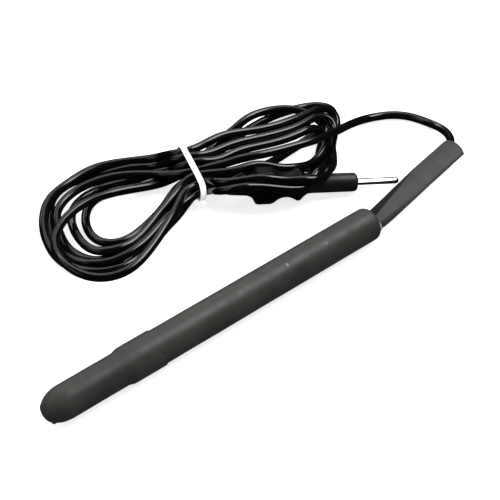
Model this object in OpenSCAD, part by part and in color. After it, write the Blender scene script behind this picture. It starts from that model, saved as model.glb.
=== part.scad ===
// Soil moisture probe on a bundled cord with a single-pin plug.
// Millimetres. +X runs along the probe from its nose to its cable end, +Z is up.
// The origin is on the probe's axis, in the middle of the raised band where two sleeves overlap.

/* [Probe] */
// Outer diameter of the main sleeve
probe_d = 17; // [14:0.5:20]
// Wall of the main sleeve
main_wall = 0.9; // [0.6:0.1:1.2]
// Wall of the closed tip boot, which makes the step where it overlaps the main sleeve
boot_wall = 0.5; // [0.4:0.1:0.8]
// Length of the overlap band
band_l = 17; // [12:1:24]
// From the middle of the band to the end of the nose
nose_x = 54; // [46:1:62]
// Length of the rounded nose
nose_l = 12.5; // [10:0.5:16]
// From the middle of the band to the rear end of the probe
rear_x = 143; // [120:1:160]
// Rounding of the rear shoulder
shoulder_r = 2.5; // [1.5:0.5:3]
// Wall of the electrode tube
tube_wall = 1; // [0.6:0.1:1.4]

/* [Cable sleeve] */
// Width of the flattened sleeve at its mouth
flat_w = 13.4; // [12:0.2:14]
// Thickness of the flattened sleeve
flat_t = 6.2; // [5.8:0.1:7]
// Wall of the flattened sleeve
flat_wall = 0.6; // [0.5:0.1:0.8]

/* [Cord] */
// Diameter of the cord
cord_d = 4.4; // [3.6:0.2:4.6]
// Height of the loop end of the hank, which is up to three cords deep
loop_h = 12; // [8:0.5:14]
// Height of the folded end of the hank behind the plug
fold_h = 16; // [10:0.5:18]
// Width inside the tie, across the bundle
tie_inner_w = 31; // [28:0.5:34]
// Height inside the tie
tie_inner_h = 12; // [11:0.5:14]
// Width of the white tie
tie_w = 3; // [2:0.5:5]
// Thickness of the white tie
tie_t = 0.9; // [0.6:0.1:1.2]

/* [Plug] */
// Diameter of the plug's pin
pin_d = 3.5; // [3:0.1:4]
// Length of the bare pin
pin_l = 22; // [18:1:24]
// Diameter of the front collar
collar_d = 9.7; // [9:0.1:10.5]
// Length of the front collar
collar_l = 26; // [20:1:28]
// Diameter of the large finger flange
big_flange_d = 19; // [16:0.5:21]
// Diameter of the small finger flange
small_flange_d = 17; // [14:0.5:18]

/* [Hidden] */
$fn = 64;

shrink_grey = [0.27, 0.27, 0.26];
cord_black = [0.04, 0.04, 0.05];
nickel = [0.80, 0.80, 0.78];
brass = [0.78, 0.62, 0.30];
copper = [0.72, 0.43, 0.26];
nylon_white = [0.95, 0.95, 0.93];

main_r = probe_d / 2;
tube_r = main_r - main_wall;
boot_r = tube_r + boot_wall;
band_r = main_r + boot_wall;
tube_bore_r = tube_r - tube_wall;
// The table that the part lies on
table_z = -band_r;
fit_gap = 0.05;

// Stations along the probe
nose_root_x = -nose_x + nose_l;
shoulder_x = -band_l / 2 - 3;
spigot_l = 14;
tube_end_x = rear_x - 12;
bush_flange_l = 3;
bush_spigot_l = 5;
root_x = tube_end_x + bush_flange_l + 0.5;
former_front_x = nose_root_x + spigot_l + 0.5;
former_rear_x = tube_end_x - bush_spigot_l - 0.5;
end_wall = 1.2;

// Contact between the electrode tube and the wire
spring_x = former_rear_x - 8;
spring_l = 14;
spring_w = 4;
spring_t = 0.3;
pocket_floor_z = 3.2;
rivet_x = spring_x - 4;
rivet_r = 1;
rivet_head_r = 1.6;
wire_post_x = spring_x + 6.2;
wire_post_r = 0.6;
wire_r = 1.1;
crimp_x = root_x + 2;
crimp_l = 9;
crimp_r = 1.8;

// Route of the cable sleeve's middle line, then the half width and half thickness there
flat_route = [
    [root_x, 0, 0], [rear_x, 0, 0], [rear_x + 4, 0.2, 0], [rear_x + 10, 1.2, 0], [rear_x + 20, 3.2, 0.2],
    [rear_x + 40, 7.4, 0.4], [rear_x + 60, 11.3, 0.6], [rear_x + 76, 14.4, 0.6]
];
// The sleeve is narrower and thicker at its root than at its mouth
root_narrow = 1;
root_thick = 1;
flat_sizes = [for (i = [0:len(flat_route) - 1]) let (near = max(0, 1 - max(0, i - 1) / 4))
    [flat_w / 2 - near * root_narrow / 2, flat_t / 2 + near * root_thick / 2]];

// Route of the cord from the splice, out of the sleeve's mouth and round to the hank
lead_route = [
    [crimp_x + crimp_l + 0.2, 0, 0], [160, 3, 0.2], [180, 7.5, 0.4], [200, 11.8, 0.6], [212, 15, 0.6],
    [219, 18, 0.5], [225, 24, -0.3], [229, 31, -2], [231, 40, -4.3], [231, 49, -6], [228, 57, -6.8],
    [223, 63, -6.8], [215, 67.5, -6.8], [206, 70, -6.8], [197, 71, -6.4]
];

// The plug lies on its two flanges, so its pin points slightly down
plug_at = [163.5, 30.5, -3.1];
plug_yaw = -31.5;
plug_pitch = 4.75;
grip_l = 43;
grip_rear = -collar_l - grip_l;
stem_r = 2.4;
stem_l = 18;
stem_depth = 0.5;
barrel_l = 12;
core_r = 0.8;
// Where the cord's jacket ends inside the grip
cord_end = -49.5;
// Radius of the rear end of the grip's strain relief
boot_end_r = 3.2;

// Route of the cord from inside the plug to the hank, whose last points are in the part's frame
tail_in_plug = [for (t = [-50, -60, grip_rear]) on_plug(t)];
tail_route = concat(tail_in_plug, [[101.5, 68.6, 2.8], [99, 70.6, 2.6]]);

// The tie's middle, its turn about Z, square to the bundle that it holds, and its lean away from the plug
tie_at = [100.5, 86, 2.7];
tie_yaw = -18;
tie_lean = 14;
tie_corner = 5;
neck_gap = 0.2;
neck_l = 7;

// The loop end of the hank: places along its band, then the band's half width there
loop_band = [
    [[93, 103], 11], [[80, 114], 13], [[66, 118], 14], [[50, 118], 15], [[37, 110], 16], [[27, 95], 17],
    [[25, 78], 15], [[32, 67], 15], [[47, 65], 13], [[62, 68], 12], [[76, 73], 11], [[88, 79], 9]
];
// The folded end of the hank behind the plug
fold_band = [[[116, 89], 12], [[136, 91], 14], [[150, 91], 16], [[168, 88], 18], [[184, 86], 17]];
// The turns of the folds beyond the plug's grip
turn_band = [[[161, 52], 8], [[172, 62], 10], [[184, 76], 12], [[204, 71], 6]];
// Where the folds climb behind the plug, and where they lie over it
saddle_band = [[[116, 82], 9], [[132, 73], 10], [[146, 65], 10], [[158, 60], 9]];
over_band = [[[113, 80], 8], [[109, 66], 8], [[115, 54], 8], [[127, 45], 7], [[140, 39], 6]];
over_z = 11;
over_h = 3.6;

// A place on the plug's axis, at a distance along the pin's direction from the collar's front face
function on_plug(t) = plug_at + t * [
    cos(plug_pitch) * cos(plug_yaw), cos(plug_pitch) * sin(plug_yaw), -sin(plug_pitch)];

// Points of a rounded nose, from its end back to its full radius
function nose_points(end_x, root_x, r, n = 14) =
    [for (i = [0:n]) [end_x + (root_x - end_x) * (1 - cos(90 * i / n)), r * sin(90 * i / n)]];

function unit(v) = v / norm(v);

// The direction of a route at one of its points
function heading(route, i) = unit(route[min(i + 1, len(route) - 1)] - route[max(i - 1, 0)]);

// One ring of a swept tube, with its half width across and its half thickness up
function ring(at, along, half_w, half_t, sides) =
    let (across = unit(cross([0, 0, 1], along)), up = cross(along, across))
    [for (k = [0:sides - 1]) at + across * half_w * cos(360 * k / sides) + up * half_t * sin(360 * k / sides)];

// One ring of a swept flat oval: two half circles joined by flats
function oval_ring(at, along, half_w, half_t, sides) =
    let (across = unit(cross([0, 0, 1], along)), up = cross(along, across), reach = half_w - half_t)
    [for (k = [0:sides - 1]) let (a = 360 * (k + 0.5) / sides)
        at + across * (half_t * cos(a) + reach * sign(cos(a))) + up * half_t * sin(a)];

// A smooth route through a list of points, with some steps between each two of them
function smooth(route, steps) = concat(
    [for (i = [0:len(route) - 2], s = [0:steps - 1]) spline_point(route, i, s / steps)],
    [route[len(route) - 1]]);

function spline_point(route, i, t) =
    let (
        last = len(route) - 1,
        a = route[max(i - 1, 0)],
        b = route[i],
        c = route[i + 1],
        d = route[min(i + 2, last)]
    )
    0.5 * (2 * b + (c - a) * t + (2 * a - 5 * b + 4 * c - d) * t * t + (3 * b - a - 3 * c + d) * t * t * t);

// A closed skin over a list of rings with the same number of points
module skin(rings) {
    sides = len(rings[0]);
    last = len(rings) - 1;
    polyhedron(
        points = [for (r = rings, p = r) p],
        faces = concat(
            [[for (k = [0:sides - 1]) k]],
            [[for (k = [sides - 1:-1:0]) last * sides + k]],
            [for (i = [0:last - 1], k = [0:sides - 1])
                let (a = i * sides + k, b = i * sides + (k + 1) % sides) [a, a + sides, b + sides, b]]
        )
    );
}

// A cord along a route
module cord(route, steps) {
    path = smooth(route, steps);
    skin([for (i = [0:len(path) - 1]) ring(path[i], heading(path, i), cord_d / 2, cord_d / 2, 10)]);
}

// A solid of revolution about the X axis, from points [along X, radius]
module turned(points) {
    rotate([0, 90, 0]) rotate_extrude() polygon([for (p = points) [p[1], p[0]]]);
}

// A rod along X
module rod(from_x, to_x, r) {
    translate([from_x, 0, 0]) rotate([0, 90, 0]) cylinder(h = to_x - from_x, r = r);
}

// A flat outline of a band that follows places with a half width at each
module band_outline(places) {
    for (i = [0:len(places) - 1]) translate(places[i][0]) circle(r = places[i][1]);
    for (i = [0:len(places) - 2]) {
        a = places[i];
        b = places[i + 1];
        side = unit([a[0][1] - b[0][1], b[0][0] - a[0][0]]);
        polygon([a[0] + side * a[1], b[0] + side * b[1], b[0] - side * b[1], a[0] - side * a[1]]);
    }
}

// A rectangle with round corners
module round_rect(w, h, r) {
    square([w - 2 * r, h], center = true);
    square([w, h - 2 * r], center = true);
    for (x = [-1, 1], y = [-1, 1]) translate([x * (w / 2 - r), y * (h / 2 - r)]) circle(r = r);
}

// The flat oval that the cable sleeve has where it leaves the probe, larger all round by grow
module sleeve_oval(grow) {
    end_r = (flat_t + root_thick) / 2 + grow;
    reach = (flat_w - root_narrow) / 2 + grow - end_r;
    square([2 * reach, 2 * end_r], center = true);
    for (x = [-reach, reach]) translate([x, 0]) circle(r = end_r);
}

// Stands a flat outline up across the X axis, from from_x, with a thickness of l
module across_x(from_x, l) {
    translate([from_x, 0, 0]) rotate([90, 0, 90]) linear_extrude(l) children();
}

module main_sleeve() {
    color(shrink_grey) difference() {
        turned(concat(
            [[-band_l / 2, 0], [-band_l / 2, main_r]],
            [for (a = [0:15:90]) [rear_x - shoulder_r + shoulder_r * sin(a), main_r - shoulder_r * (1 - cos(a))]],
            [[rear_x, 0]]
        ));
        rod(-band_l / 2 - 1, rear_x - end_wall, tube_r);
        across_x(rear_x - end_wall - 1, end_wall + 2) sleeve_oval(fit_gap);
    }
}

module tip_boot() {
    inner_end_x = -nose_x + 0.8;
    color(shrink_grey) turned(concat(
        nose_points(-nose_x, nose_root_x, boot_r),
        [[shoulder_x, boot_r], [-band_l / 2, band_r], [band_l / 2, band_r], [band_l / 2, main_r]],
        [[-band_l / 2, main_r], [-band_l / 2 - 0.2, main_r], [shoulder_x + 0.2, tube_r]],
        [for (i = [14:-1:0]) nose_points(inner_end_x, nose_root_x, tube_r)[i]]
    ));
}

// The ring of sealant that fills the wedge under the boot, against the end of the main sleeve
module boot_adhesive() {
    color([0.55, 0.52, 0.45]) turned([
        [shoulder_x + 0.4, tube_r], [-band_l / 2 - 0.25, main_r - fit_gap], [-band_l / 2 - 0.05, main_r - fit_gap],
        [-band_l / 2 - 0.05, tube_r]
    ]);
}

module nose_plug() {
    spigot_r = tube_bore_r - fit_gap;
    color([0.85, 0.84, 0.80]) turned(concat(
        nose_points(-nose_x + 0.9, nose_root_x, tube_r - fit_gap),
        [[nose_root_x, spigot_r], [nose_root_x + spigot_l - 1, spigot_r], [nose_root_x + spigot_l, spigot_r - 1]],
        [[nose_root_x + spigot_l, 0]]
    ));
}

module electrode_tube() {
    color(brass) difference() {
        rod(nose_root_x + fit_gap, tube_end_x, tube_r - 0.01);
        rod(nose_root_x - 1, tube_end_x + 1, tube_bore_r);
    }
}

// The rod that stiffens the electrode, with the wire's channel and the contact's pocket
module core_former() {
    former_r = tube_bore_r - 0.2;
    channel_r = wire_r + 0.15;
    pocket_gap = 0.5;
    post_slot = [4, 3];
    color([0.72, 0.72, 0.70]) difference() {
        rod(former_front_x, former_rear_x, former_r);
        rod(rivet_x, former_rear_x + 1, channel_r);
        translate([spring_x - spring_l / 2, -spring_w / 2 - pocket_gap, pocket_floor_z])
            cube([spring_l + 2 * pocket_gap, spring_w + 2 * pocket_gap, former_r]);
        translate([wire_post_x - post_slot[0] / 2, -post_slot[1] / 2, 0])
            cube([post_slot[0], post_slot[1], former_r]);
        translate([rivet_x, 0, 0]) cylinder(h = former_r, r = rivet_r);
    }
}

// A sprung strip that bows up against the bore of the electrode tube
module contact_spring() {
    foot = pocket_floor_z + 0.02;
    crown = tube_bore_r - 0.02;
    x0 = spring_x - spring_l / 2 + 0.5;
    top = crown - spring_t;
    // Distances along the strip: end of the foot, both ends of the crown, the rear bend and the tail
    bends = [5, 8, 9, 12, 13.5];
    line = [[x0, foot], [x0 + bends[0], foot], [x0 + bends[1], top], [x0 + bends[2], top],
        [x0 + bends[3], foot], [x0 + bends[4], foot]];
    color(copper) difference() {
        translate([0, spring_w / 2, 0]) rotate([90, 0, 0]) linear_extrude(spring_w)
            polygon(concat(line, [for (i = [len(line) - 1:-1:0]) line[i] + [0, spring_t]]));
        translate([rivet_x, 0, 0]) cylinder(h = probe_d, r = rivet_r + fit_gap);
    }
}

// The rivet that holds the contact strip down on the former
module contact_rivet() {
    head_z = pocket_floor_z + spring_t + fit_gap;
    foot_z = wire_r + 0.4;
    head_h = 0.8;
    overlap = 0.1;
    color(nickel) translate([rivet_x, 0, 0]) {
        translate([0, 0, foot_z]) cylinder(h = head_z - foot_z + overlap, r = rivet_r - 0.02);
        translate([0, 0, head_z]) cylinder(h = head_h, r = rivet_head_r);
    }
}

module inner_wire() {
    color([0.65, 0.08, 0.06]) union() {
        rod(spring_x + 3, crimp_x - fit_gap, wire_r);
        translate([wire_post_x, 0, 0]) cylinder(h = pocket_floor_z, r = wire_post_r);
    }
}

module rear_bush() {
    color([0.85, 0.84, 0.80]) difference() {
        union() {
            rod(tube_end_x - bush_spigot_l, tube_end_x + 0.1, tube_bore_r - fit_gap);
            rod(tube_end_x + 0.02, tube_end_x + bush_flange_l, tube_r - fit_gap);
        }
        rod(tube_end_x - bush_spigot_l - 1, tube_end_x + bush_flange_l + 1, wire_r + fit_gap);
    }
}

// The crimped barrel that joins the wire to the cord
module splice_crimp() {
    edge = 0.3;
    end_x = crimp_x + crimp_l;
    dent_r = crimp_r - 0.4;
    // Where the dent of the crimping tool starts and ends, at its rim and at its floor
    dent = [2.5, 3, 4, 4.5];
    color(nickel) turned([
        [crimp_x, 0], [crimp_x, crimp_r - edge], [crimp_x + edge, crimp_r], [crimp_x + dent[0], crimp_r],
        [crimp_x + dent[1], dent_r], [crimp_x + dent[2], dent_r], [crimp_x + dent[3], crimp_r],
        [end_x - edge, crimp_r], [end_x, crimp_r - edge], [end_x, 0]
    ]);
}

module splice_cover() {
    color(cord_black) difference() {
        rod(crimp_x - 1, crimp_x + crimp_l, crimp_r + 0.5);
        rod(crimp_x - 2, crimp_x + crimp_l + 1, crimp_r + fit_gap);
    }
}

module cable_sleeve() {
    path = smooth(flat_route, 2);
    sizes = smooth(flat_sizes, 2);
    last = len(path) - 1;
    inside = concat([path[0] - heading(path, 0)], path, [path[last] + heading(path, last)]);
    color(shrink_grey) difference() {
        skin([for (i = [0:last]) oval_ring(path[i], heading(path, i), sizes[i][0], sizes[i][1], 20)]);
        skin([for (i = [0:last + 2]) let (s = sizes[min(max(i - 1, 0), last)])
            oval_ring(inside[i], heading(inside, i), s[0] - flat_wall, s[1] - flat_wall, 20)]);
    }
}

// The bead of sealant squeezed out round the root of the cable sleeve
module root_adhesive() {
    color([0.80, 0.79, 0.75]) difference() {
        across_x(rear_x + fit_gap, 0.8) sleeve_oval(0.6);
        across_x(rear_x - 1, 3) sleeve_oval(0.15);
    }
}

module cord_lead() {
    color(cord_black) cord(lead_route, 2);
}

// The loop end of the hank, and the bundle inside the tie
module cord_hank() {
    color(cord_black) union() {
        translate([0, 0, table_z]) linear_extrude(loop_h) band_outline(loop_band);
        at_tie() translate([-neck_l, 0, 0]) rotate([90, 0, 90]) linear_extrude(2 * neck_l)
            round_rect(tie_inner_w - 2 * neck_gap, tie_inner_h - 2 * neck_gap, tie_corner - neck_gap);
    }
}

// The folded end of the hank: behind the plug, beyond it, and over the top of its grip
module cord_folds() {
    color(cord_black) union() {
        translate([0, 0, table_z]) linear_extrude(fold_h) {
            band_outline(fold_band);
            band_outline(turn_band);
        }
        translate([0, 0, table_z]) linear_extrude(over_z + over_h - table_z) band_outline(saddle_band);
        translate([0, 0, over_z]) linear_extrude(over_h) band_outline(over_band);
    }
}

module cord_tail() {
    color(cord_black) cord(tail_route, 2);
}

// Puts its children in the tie's frame, with X along the bundle
module at_tie() {
    translate(tie_at) rotate([tie_lean, 0, tie_yaw]) children();
}

module cord_tie() {
    color(nylon_white) at_tie() translate([-tie_w / 2, 0, 0]) rotate([90, 0, 90]) linear_extrude(tie_w)
        difference() {
            round_rect(tie_inner_w + 2 * tie_t, tie_inner_h + 2 * tie_t, tie_corner + tie_t);
            round_rect(tie_inner_w, tie_inner_h, tie_corner);
        }
}

// Puts its children in the plug's frame, with X along the pin and 0 at the collar's front face
module at_plug() {
    translate(plug_at) rotate([0, plug_pitch, plug_yaw]) children();
}

// The pin has a fine groove at its root and a short rounded end
module plug_pin() {
    r = pin_d / 2;
    nose = 1.2;
    groove_depth = 0.4;
    groove_end = 0.3;
    color(nickel) at_plug() turned([
        [-stem_l, 0], [-stem_l, stem_r], [-stem_depth, stem_r], [-stem_depth, r - groove_depth],
        [groove_end, r - groove_depth], [groove_end, r], [pin_l - nose, r],
        [pin_l - nose * 0.4, r * 0.85], [pin_l, r * 0.5], [pin_l, 0]
    ]);
}

// The crimped barrel behind the pin's stem
module plug_crimp() {
    color(brass) at_plug() difference() {
        rod(-stem_l - barrel_l, -stem_l - fit_gap, stem_r);
        rod(-stem_l - barrel_l - 1, -stem_l - 2, core_r + fit_gap);
    }
}

// The bared end of the cord's conductor
module plug_core() {
    into_barrel = 2.2;
    color(copper) at_plug() rod(cord_end - 0.3, -stem_l - into_barrel, core_r);
}

module plug_collar() {
    edge = 1.8;
    color([0.12, 0.11, 0.10]) at_plug() difference() {
        turned(concat(
            [[-collar_l, 0], [-collar_l, collar_d / 2]],
            [for (a = [0:15:90]) [-edge + edge * sin(a), collar_d / 2 - edge * (1 - cos(a))]],
            [[0, 0]]
        ));
        rod(-collar_l - 1, 1, pin_d / 2 + fit_gap);
        rod(-collar_l - 1, -stem_depth + fit_gap, stem_r + fit_gap);
    }
}

// The moulded grip: strain relief, large flange, waist, small flange
module plug_grip() {
    big_r = big_flange_d / 2;
    small_r = small_flange_d / 2;
    edge = 0.4;
    front = -collar_l - 0.1;
    // Stations back from the collar: both faces of the large flange, the waist, the small flange
    big_front = -collar_l - 19;
    big_rear = -collar_l - 26;
    waist = [-collar_l - 12.5, -collar_l - 10];
    small_flange = [-collar_l - 5.4, -collar_l - 4.6];
    waist_r = 6.4;
    color([0.07, 0.07, 0.07]) at_plug() difference() {
        turned([
            [grip_rear, 0], [grip_rear, boot_end_r], [grip_rear + 1.2, boot_end_r + 0.9], [big_rear - 4, 4.8],
            [big_rear - 1, big_r - edge], [big_rear, big_r], [big_front, big_r], [big_front + 1, big_r - edge],
            [waist[0] - 2.5, 7.3], [waist[0], waist_r], [waist[1], waist_r], [waist[1] + 2.5, 7.2],
            [small_flange[0], small_r - 0.1], [small_flange[1], small_r - 0.1],
            [front - 0.9, 5.6], [front, 5.2], [front, 0]
        ]);
        rod(grip_rear - 1, cord_end, cord_d / 2 + fit_gap);
        rod(cord_end - 0.1, -collar_l, core_r + 0.2);
        rod(-stem_l - barrel_l - 0.5, -collar_l + 1, stem_r + fit_gap);
    }
}

main_sleeve();
tip_boot();
boot_adhesive();
nose_plug();
electrode_tube();
core_former();
contact_spring();
contact_rivet();
inner_wire();
rear_bush();
splice_crimp();
splice_cover();
cable_sleeve();
root_adhesive();
cord_lead();
cord_hank();
cord_folds();
cord_tail();
cord_tie();
plug_pin();
plug_crimp();
plug_core();
plug_collar();
plug_grip();
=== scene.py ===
import math

import bpy
import numpy as np
from mathutils import Matrix, Vector, noise


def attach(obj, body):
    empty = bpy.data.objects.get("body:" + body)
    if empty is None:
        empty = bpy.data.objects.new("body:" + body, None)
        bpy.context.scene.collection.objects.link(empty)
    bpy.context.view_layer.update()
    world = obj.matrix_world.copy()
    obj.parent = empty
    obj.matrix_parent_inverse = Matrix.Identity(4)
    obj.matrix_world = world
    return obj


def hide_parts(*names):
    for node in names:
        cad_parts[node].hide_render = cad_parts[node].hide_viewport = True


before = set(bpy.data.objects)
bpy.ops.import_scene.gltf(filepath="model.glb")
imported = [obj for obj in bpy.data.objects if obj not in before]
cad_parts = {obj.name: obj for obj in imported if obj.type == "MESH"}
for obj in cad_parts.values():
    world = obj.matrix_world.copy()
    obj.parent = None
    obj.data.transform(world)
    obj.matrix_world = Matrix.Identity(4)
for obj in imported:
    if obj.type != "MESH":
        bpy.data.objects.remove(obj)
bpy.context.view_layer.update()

# Lengths are in millimetres, in the row frame, until a mesh or curve is made.
MM = 0.001

# Probe
MAIN_R = 8.5
TUBE_R = 7.6
BOOT_R = 8.1
BAND_R = 9.0
BAND_END = 8.5
NOSE_X = -54.0
NOSE_ROOT_X = -41.5
REAR_X = 143.0
SHOULDER_R = 2.5
TABLE_Z = -BAND_R

# Cord and plug
CORD_R = 2.2
COLLAR_R = 4.85
COLLAR_L = 26.0
PIN_R = 1.75
PIN_L = 22.0
GRIP_REAR = -69.0
PLUG = (Matrix.Translation((163.5, 30.5, -3.1)) @ Matrix.Rotation(math.radians(-31.5), 4, "Z")
        @ Matrix.Rotation(math.radians(4.75), 4, "Y"))

# Tie, with X along the bundle
TIE_W = 3.0
TIE_T = 0.9
TIE_INNER = (31.0, 12.0, 5.0)
TIE = (Matrix.Translation((100.5, 86, 2.7)) @ Matrix.Rotation(math.radians(-18), 4, "Z")
       @ Matrix.Rotation(math.radians(14), 4, "X"))

# ---------------------------------------------------------------- camera

VIEW_AZIMUTH = 41.343
VIEW_DOWN = 40.206
camera_data = bpy.data.cameras.new("camera")
camera_data.lens = 115.2
camera_data.sensor_width = 36
camera = bpy.data.objects.new("camera", camera_data)
camera.location = Vector((-302.6, -417.0, 495.7)) * MM
camera.rotation_euler = (math.radians(90 - VIEW_DOWN), 0, math.radians(-VIEW_AZIMUTH))
bpy.context.scene.collection.objects.link(camera)
bpy.context.scene.camera = camera

# ---------------------------------------------------------------- cord

# From the splice, out of the flat sleeve's mouth and round to the hank
LEAD = [
    (145.7, 0, 0), (160, 3, 0.2), (180, 7.5, 0.4), (200, 11.8, 0.6), (212, 15, 0.6), (219, 18, 0.5),
    (225, 24, -0.3), (229, 31, -2), (231, 40, -4.3), (231, 49, -6), (228, 57, -6.8), (223, 63, -6.8),
]
# Where each strand passes the tie: across and up in the tie's frame
SLOTS = {
    "a1": (12.5, 2.9), "a2": (8.1, 3.8), "a3": (3.6, 3.8), "lead": (-0.9, 3.8), "a5": (-5.6, 3.8),
    "a6": (-10.2, 3.7), "a7": (-13.2, 0.5), "tail": (-11.5, -3.6), "b1": (-6.6, -3.8),
    "b2": (-1.6, -3.8), "b3": (4.2, -3.8), "b4": (9.4, -3.8),
}
# Most points of STRANDS and TURNS were worked out and rounded by a separate script, not chosen by hand
# Each strand from the tie out towards the folds
STRANDS = {
    "lead": [(106, 80, 8.5), (118, 74, 10), (133, 67, 10), (150, 63, 9), (164, 61, 7.5), (178, 63, 4),
             (194, 68, -1.5), (209, 70, -5.5), (214, 68, -6)],
    "a1": [(111, 96, 10), (125, 95, 9.5), (140, 91, 7.5), (154, 86, 6.5), (173, 84, 5), (191, 83, 2)],
    "a2": [(109, 89, 10), (127, 86, 8.5), (148, 81, 6.5), (166, 78, 5), (183, 78, 3.5)],
    "a3": [(108, 84, 8.5), (129, 81, 6.5), (148, 77, 4.5), (165, 74, 3.5), (172, 73, 3)],
    "a5": [(105, 74, 9), (118, 68, 7.5), (131, 60, 5), (144, 54, 2.5), (159, 56, -0.5)],
    "a6": [(99, 66, 9), (109, 58, 12), (121, 49, 10), (133, 40, 7), (144, 37, 5)],
    "a7": [(98, 65, 6), (105, 54, 11), (119, 47, 8), (130, 40, 6), (139, 38, 5.5)],
    "b1": [(104, 74, 1), (116, 68, 2.5), (130, 60, 1.5), (141, 52, 0), (149, 52, -2)],
    "b2": [(106, 82, 0), (117, 76, 1), (131, 71, -0.5), (145, 72, -2.5), (159, 75, -4.5)],
    "b3": [(118, 93, 0), (143, 101, -3.5), (164, 104, -4.5), (182, 103, -5.5), (195, 98, -6)],
    "b4": [(118, 97, 2), (139, 102, 0), (157, 107, 0), (170, 104, 0), (181, 97, -0.5), (184, 92, -1.5)],
}
# The loops and folds in the cord's own order: a loop goes in by one strand and out by another,
# and then comes the fold after it
TURNS = [
    ("lead", [(95, 92, 4.5), (84, 102, 2), (69, 113, 1), (51, 118, -1.5), (36, 113, -3.5), (27, 101, -5),
              (23, 87, -6.5), (28, 73, -7), (43, 69, -6.5), (61, 71, -5), (81, 77, -2)],
     "b1", [(163, 58, -5.5), (175, 69, -6.5), (179, 71, -2)]),
    ("a3", [(98, 95, 3), (86, 106, -3), (71, 114, -6), (55, 116, -6), (40, 107, -4.5), (32, 91, -3),
            (31, 75.5, -3), (41, 68, -2.5), (57, 70, -1.5), (77, 77, 1.5), (86, 78, 4)],
     "a5", [(168, 59, 1.5), (180, 71, -0.5), (186, 87, -2)]),
    ("b4", [(101, 99, 1), (85, 102, -5), (70, 109, -7), (55, 110, -7), (43, 99, -7), (39, 84, -7),
            (46, 76, -6.5), (64, 77, -5), (86, 82, -1.5)],
     "b2", [(175, 78, -6.5), (192, 81, -7), (202, 89, -7)]),
    ("b3", [(97, 94, 0.5), (82, 98, -2), (65, 103, -0.5), (48, 103, 2.5), (31, 99, 3), (17, 89, 2),
            (13, 75, 0), (18, 61, -2.5), (32, 53, -2), (51, 57, 0), (71, 66, 3), (81, 71, 4.5)],
     "a6", [(158, 43, 2), (171, 57, -1.5), (178, 67, -2), (187, 72, 0)]),
    ("a2", [(97, 107, 1), (88, 114, -1.5), (76, 122, -4), (62, 129, -6), (48, 128.5, -7), (38, 122, -7),
            (26, 105, -7), (21, 87, -6), (24, 72, -5), (36, 63, -4), (53, 64, -2), (72, 70, 0), (82, 72, 1)],
     "a7", [(149, 42, 4.5), (159, 50, 0.5), (168, 58, -4), (176, 65, -6.5), (185, 71, -6.5),
            (192, 76, -3.5), (195, 81, 0.5)]),
    ("a1", [(101, 104, 5), (90, 117, -0.5), (73, 126, -2), (54, 127, -2.5), (35, 120, -2.5), (21, 103, -3),
            (16, 85, -5), (21, 70, -6.5), (35, 61, -7), (54, 63, -5.5), (75, 71, -3.5), (86, 75, -3)],
     "tail", []),
]
SLOT_HALF_L = 4
# The plug's outline that the cord lies against: distance along its axis and radius
PLUG_SHAPE = np.array([
    (-69, 3.2), (-67.8, 4.1), (-56, 4.8), (-53, 9.1), (-52, 9.5), (-45, 9.5), (-44, 9.1), (-41, 7.3),
    (-38.5, 6.4), (-36, 6.4), (-33.5, 7.2), (-31.4, 8.4), (-30.6, 8.4), (-27, 5.6), (-26, 4.85),
    (-1.8, 4.85), (0, 3.05), (22, 1.75),
])
CORD_STEP = 3.0
# Beyond this the cord is out of the flat sleeve and free to settle
SLEEVE_MOUTH_X = 217
# How far a round lets the cord sag, straightens its bends, and pulls it towards the route above
SAG = 0.03
STIFFNESS = 0.06
PULL = 0.06
# The distance between the middles of two strands that settling works towards. It ends up a little less
CLEARANCE = 4.5
# Half the length along the bundle over which the tie holds the strands in
TIE_HOLD = 2.4
# Beside the tie the strands find their own way: the pull is eased about EASED_AT from the tie
EASED_AT = 13
EASED_WIDTH = 7
EASED_REACH = 26
EASING = 0.85


def in_slot(strand, along):
    across, up = SLOTS[strand]
    return tuple(TIE @ Vector((along, across, up)))


def hank_route():
    """The points that the cord passes, from the splice to the plug."""
    points = LEAD + STRANDS["lead"][::-1]
    for i, (inward, loop, outward, fold) in enumerate(TURNS):
        points += [in_slot(inward, SLOT_HALF_L), in_slot(inward, -SLOT_HALF_L)] + loop
        points += [in_slot(outward, -SLOT_HALF_L), in_slot(outward, SLOT_HALF_L)]
        if fold:
            points += STRANDS[outward] + fold + STRANDS[TURNS[i + 1][0]][::-1]
    points += [tuple(PLUG @ Vector((t, 0, 0))) for t in (-72, -63, -55, -50)]
    return np.array(points, float)


def spline(points, step):
    """Points a step apart on a smooth line through the given ones."""
    t = np.linspace(0, 1, 24, endpoint=False)[:, None]
    last = len(points) - 1
    pieces = []
    for i in range(last):
        a, b, c, d = points[max(i - 1, 0)], points[i], points[i + 1], points[min(i + 2, last)]
        pieces.append(0.5 * (2 * b + (c - a) * t + (2 * a - 5 * b + 4 * c - d) * t * t
                             + (3 * b - a - 3 * c + d) * t ** 3))
    line = np.concatenate(pieces + [points[-1:]])
    at = np.concatenate([[0], np.cumsum(np.linalg.norm(np.diff(line, axis=0), axis=1))])
    places = np.linspace(0, at[-1], int(round(at[-1] / step)) + 1)
    return np.stack([np.interp(places, at, line[:, k]) for k in range(3)], 1)


def pairs_within(p, reach):
    """The pairs of points, not near each other along the cord, that are closer than reach."""
    square = (p * p).sum(1)
    gap = square[:, None] + square[None, :] - 2 * p @ p.T
    a, b = np.nonzero(np.triu(gap < reach * reach, 4))
    return a, b


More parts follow.
